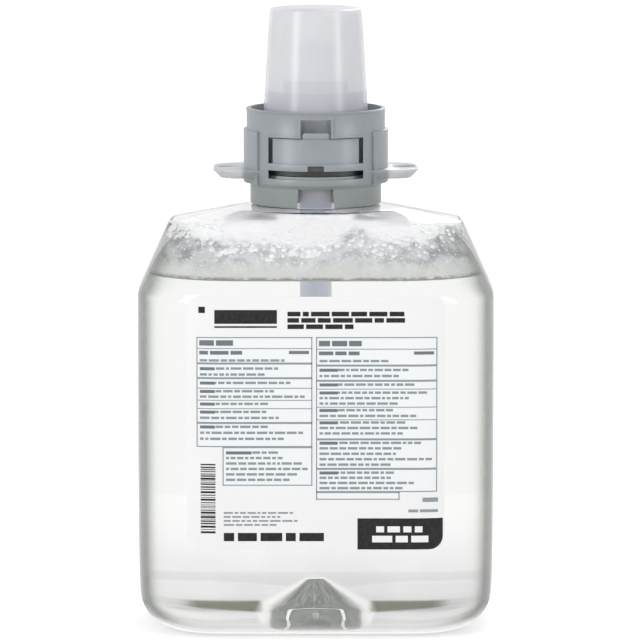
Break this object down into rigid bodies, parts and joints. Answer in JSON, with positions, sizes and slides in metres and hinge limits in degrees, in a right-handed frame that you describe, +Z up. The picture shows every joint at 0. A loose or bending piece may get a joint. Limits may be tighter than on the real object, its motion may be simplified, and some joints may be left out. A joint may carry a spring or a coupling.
{
  "type": "foam hand soap refill pack",
  "caption": "Clear bottle of hand soap with a foam pump in a winged grey collar, closed by a pull-off dust cap.",
  "frame": {"origin": "middle of the base, on the surface that the bottle stands on", "axes": "+Z up along the pump's axis, -Y out of the label, +X to the right of the label"},
  "size_m": [0.125, 0.0895, 0.2175],
  "materials": {
    "clear_bottle": "clear blown PET",
    "soap": "clear liquid",
    "foam": "soap foam",
    "label_film": "printed film",
    "collar_grey": "satin moulded",
    "carrier_grey": "moulded",
    "cap_milky": "milky translucent",
    "pump_white": "moulded",
    "seal_rubber": "soft silicone",
    "screen_mesh": "woven mesh"
  },
  "bodies": {
    "bottle_body": {"bottle": "clear_bottle", "soap_liquid": "soap", "foam_head": "foam", "front_label": "label_film", "outer_collar": "collar_grey", "neck_gasket": "seal_rubber", "pump_carrier": "carrier_grey", "liquid_cylinder": "pump_white", "cylinder_end_cap": "pump_white", "inlet_valve": "seal_rubber"},
    "pump_piston": {"piston_stem": "pump_white", "liquid_piston_seal": "seal_rubber", "air_piston": "pump_white", "air_piston_seal": "seal_rubber", "foam_nozzle": "pump_white", "outlet_valve": "seal_rubber", "screen_cartridge": "pump_white", "lower_mesh_screen": "screen_mesh", "upper_mesh_screen": "screen_mesh"},
    "cap": {"dust_cap": "cap_milky"}
  },
  "joints": [
    {"name": "pump_press", "type": "slide", "parent": "bottle_body", "child": "pump_piston", "axis": [0, 0, -1], "range_m": [0, 0.01]},
    {"name": "cap_lift", "type": "slide", "parent": "bottle_body", "child": "cap", "axis": [0, 0, 1], "range_m": [0, 0.045]}
  ]
}
